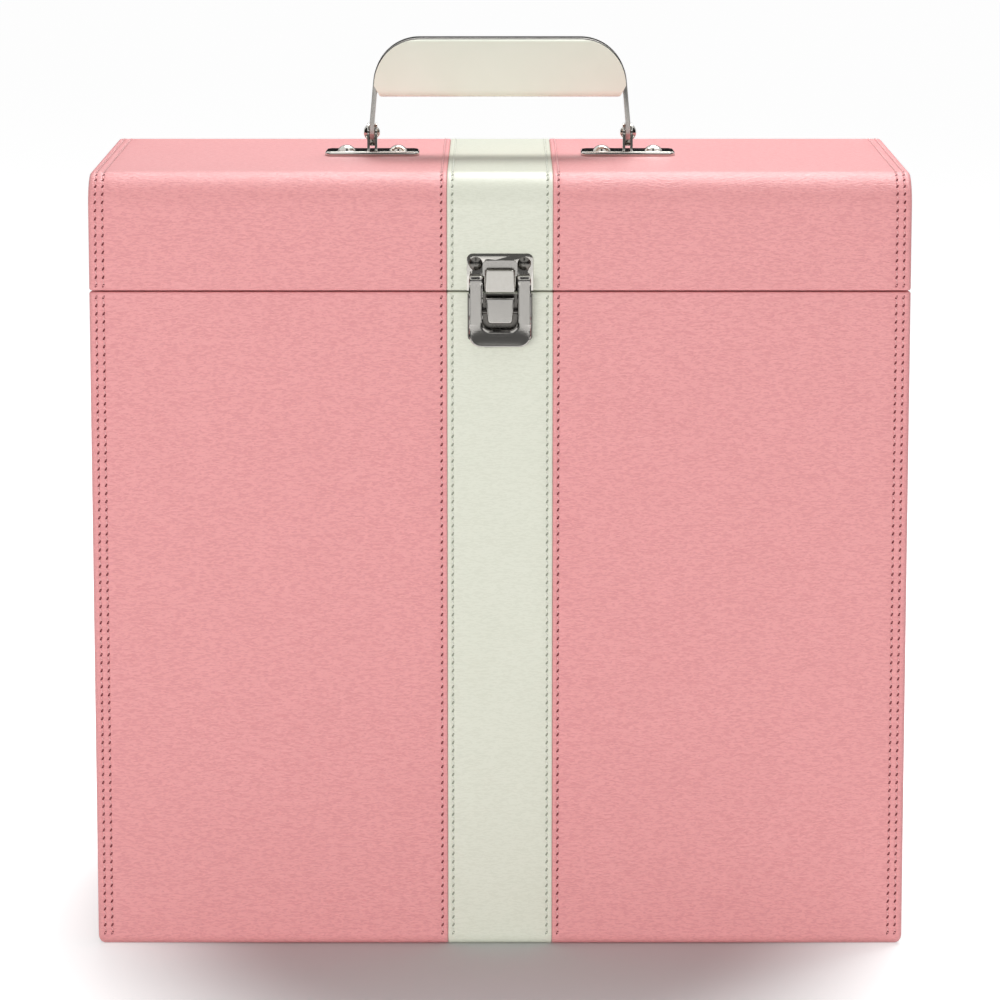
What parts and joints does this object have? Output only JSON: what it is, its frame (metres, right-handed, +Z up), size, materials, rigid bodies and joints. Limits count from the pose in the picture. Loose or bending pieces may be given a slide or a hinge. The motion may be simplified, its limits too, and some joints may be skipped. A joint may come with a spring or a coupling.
{
  "type": "record carrying case",
  "caption": "Upright leatherette-covered case for 12-inch records, with a rear-hinged lid, a front draw latch and a swinging top handle.",
  "frame": {"origin": "middle of the underside, on the surface the case stands on", "axes": "+Z up, the latch side faces -Y, +X to the right as seen from the front"},
  "size_m": [0.35, 0.1841, 0.3888],
  "materials": {
    "pink_leatherette": "embossed pebble grain, low sheen",
    "cream_leatherette": "embossed pebble grain, low sheen",
    "board": "sawn fibreboard",
    "lining": "short flocked nap",
    "nickel": "bright nickel plate",
    "satin_nickel": "satin brushed nickel with bright edges",
    "grip": "smooth moulded, soft gloss"
  },
  "bodies": {
    "case_body": {"body_front_board": "board", "body_back_board": "board", "body_left_board": "board", "body_right_board": "board", "body_floor_board": "board", "body_cover_left": "pink_leatherette", "body_cover_right": "pink_leatherette", "body_strip": "cream_leatherette", "body_underside_cover": "pink_leatherette", "body_lining": "lining", "hinge_left_body_leaf": "nickel", "hinge_right_body_leaf": "nickel", "hinge_left_pin": "nickel", "hinge_right_pin": "nickel", "hinge_body_screws": "nickel", "latch_base": "nickel", "latch_base_rivets": "nickel", "latch_pivot_pin": "nickel"},
    "lid": {"lid_top_board": "board", "lid_front_board": "board", "lid_back_board": "board", "lid_left_board": "board", "lid_right_board": "board", "lid_cover_left": "pink_leatherette", "lid_cover_right": "pink_leatherette", "lid_strip": "cream_leatherette", "lid_lining": "lining", "hinge_left_lid_leaf": "nickel", "hinge_right_lid_leaf": "nickel", "hinge_lid_screws": "nickel", "handle_left_foot": "nickel", "handle_right_foot": "nickel", "handle_left_pin": "nickel", "handle_right_pin": "nickel", "handle_foot_screws": "nickel", "handle_tee_nuts": "nickel", "strike_plate": "nickel", "strike_rivets": "nickel"},
    "handle": {"handle_strap": "nickel", "handle_grip": "grip"},
    "latch_tab": {"latch_tab": "satin_nickel", "latch_link_pin": "nickel"},
    "latch_frame": {"latch_frame": "satin_nickel"}
  },
  "joints": [
    {"name": "lid_hinge", "type": "hinge", "parent": "case_body", "child": "lid", "pos_m": [0, 0.0877, 0.287], "axis": [-1, 0, 0], "range_deg": [0, 105]},
    {"name": "handle_hinge", "type": "hinge", "parent": "lid", "child": "handle", "pos_m": [0, 0, 0.3468], "axis": [1, 0, 0], "range_deg": [-88, 88]},
    {"name": "latch_tab_hinge", "type": "hinge", "parent": "case_body", "child": "latch_tab", "pos_m": [0, -0.0896, 0.2828], "axis": [-1, 0, 0], "range_deg": [0, 120]},
    {"name": "latch_frame_hinge", "type": "hinge", "parent": "latch_tab", "child": "latch_frame", "pos_m": [0, -0.09016, 0.27884], "axis": [-1, 0, 0], "range_deg": [-134.5, 0]}
  ],
  "couplings": [
    {"joint": "latch_frame_hinge", "follows": "latch_tab_hinge", "ratio": -1.1167}
  ]
}
